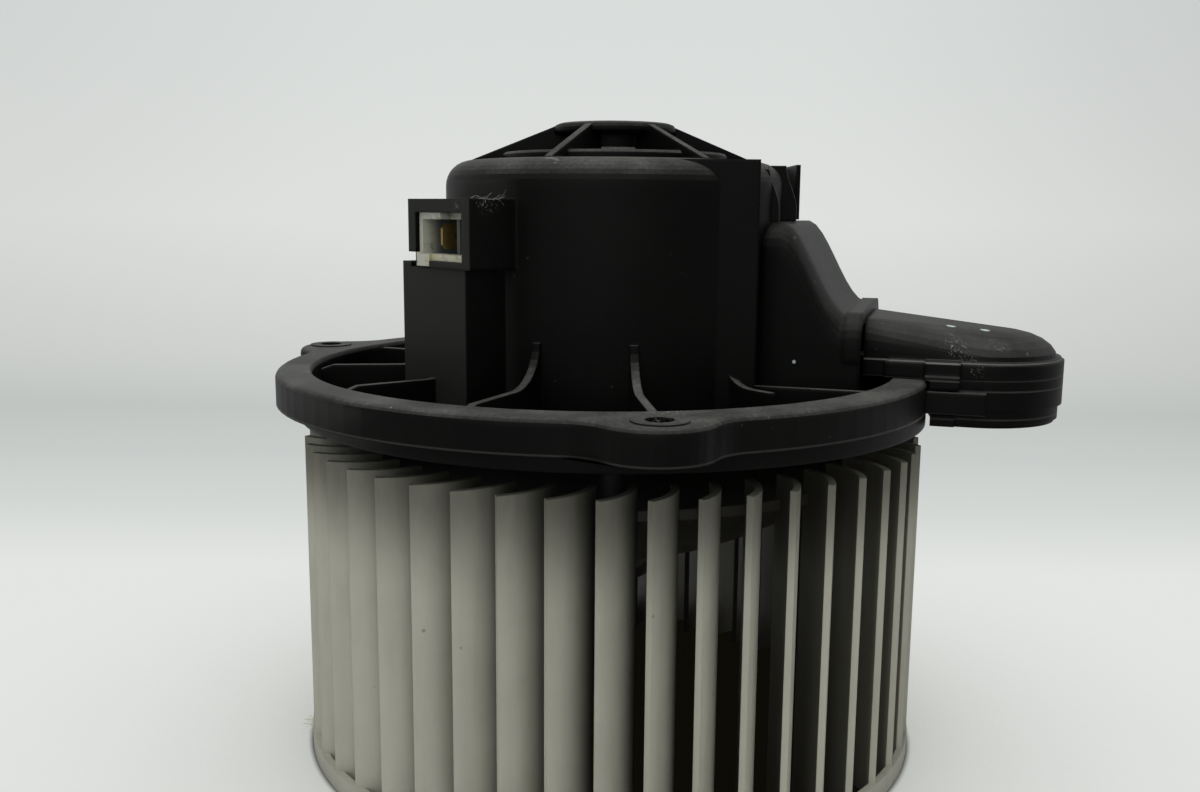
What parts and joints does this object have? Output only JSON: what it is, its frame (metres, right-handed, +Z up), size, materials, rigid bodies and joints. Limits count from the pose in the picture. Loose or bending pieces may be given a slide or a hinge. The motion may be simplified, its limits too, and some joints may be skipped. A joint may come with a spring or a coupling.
{
  "type": "car cabin blower motor",
  "caption": "Cabin heater blower: a squirrel-cage fan wheel under a round black motor housing with mounting tabs, a side cooling duct and a moulded power socket.",
  "frame": {"origin": "on the motor's axis in the plane of the flange's underside, where the spigot meets the seat", "axes": "+Z up along the motor's axis, from the fan wheel to the motor cover; +X towards the cooling duct; -Y is the side that the picture shows"},
  "size_m": [0.1917, 0.1657, 0.1495],
  "materials": {
    "housing_black": "satin glass-filled moulding with a grey sheen and dust",
    "duct_black": "satin moulding",
    "retainer_black": "matte moulding",
    "wheel_plastic": "satin grey-white moulding with dust in the corners",
    "insert_nylon": "cream nylon",
    "terminal_brass": "stamped brass",
    "yoke_steel": "zinc-plated drawn steel",
    "screw_steel": "zinc-plated steel",
    "shaft_steel": "ground steel",
    "core_steel": "stacked steel laminations",
    "magnet_ferrite": "dark sintered ferrite",
    "bearing_bronze": "sintered bronze",
    "isolator_rubber": "soft black rubber",
    "card_laminate": "brown laminate",
    "brush_carbon": "copper-loaded carbon",
    "copper_wire": "enamelled copper wire",
    "commutator_copper": "turned copper segments",
    "capacitor_coat": "dipped coating"
  },
  "bodies": {
    "housing": {"motor_housing": "housing_black", "motor_retainer": "retainer_black", "retainer_screws": "screw_steel", "cooling_elbow": "duct_black", "duct_cover": "duct_black", "duct_tray": "duct_black", "connector_body": "insert_nylon", "terminal_live": "terminal_brass", "terminal_earth": "terminal_brass", "motor_yoke": "yoke_steel", "end_bracket": "yoke_steel", "magnet_a": "magnet_ferrite", "magnet_b": "magnet_ferrite", "lower_bearing": "bearing_bronze", "upper_bearing": "bearing_bronze", "lower_isolator": "isolator_rubber", "upper_isolator": "isolator_rubber", "brush_card": "card_laminate", "brush_holder_a": "terminal_brass", "brush_holder_b": "terminal_brass", "brush_a": "brush_carbon", "brush_b": "brush_carbon", "brush_spring_a": "screw_steel", "brush_spring_b": "screw_steel", "choke_a": "copper_wire", "choke_b": "copper_wire", "capacitor": "capacitor_coat"},
    "rotor": {"motor_shaft": "shaft_steel", "armature_core": "core_steel", "armature_winding": "copper_wire", "commutator": "commutator_copper", "thrust_washers": "screw_steel", "fan_wheel": "wheel_plastic", "hub_clip": "screw_steel"}
  },
  "joints": [
    {"name": "wheel_spin", "type": "hinge", "parent": "housing", "child": "rotor", "pos_m": [0, 0, 0], "axis": [0, 0, 1], "continuous": true}
  ]
}
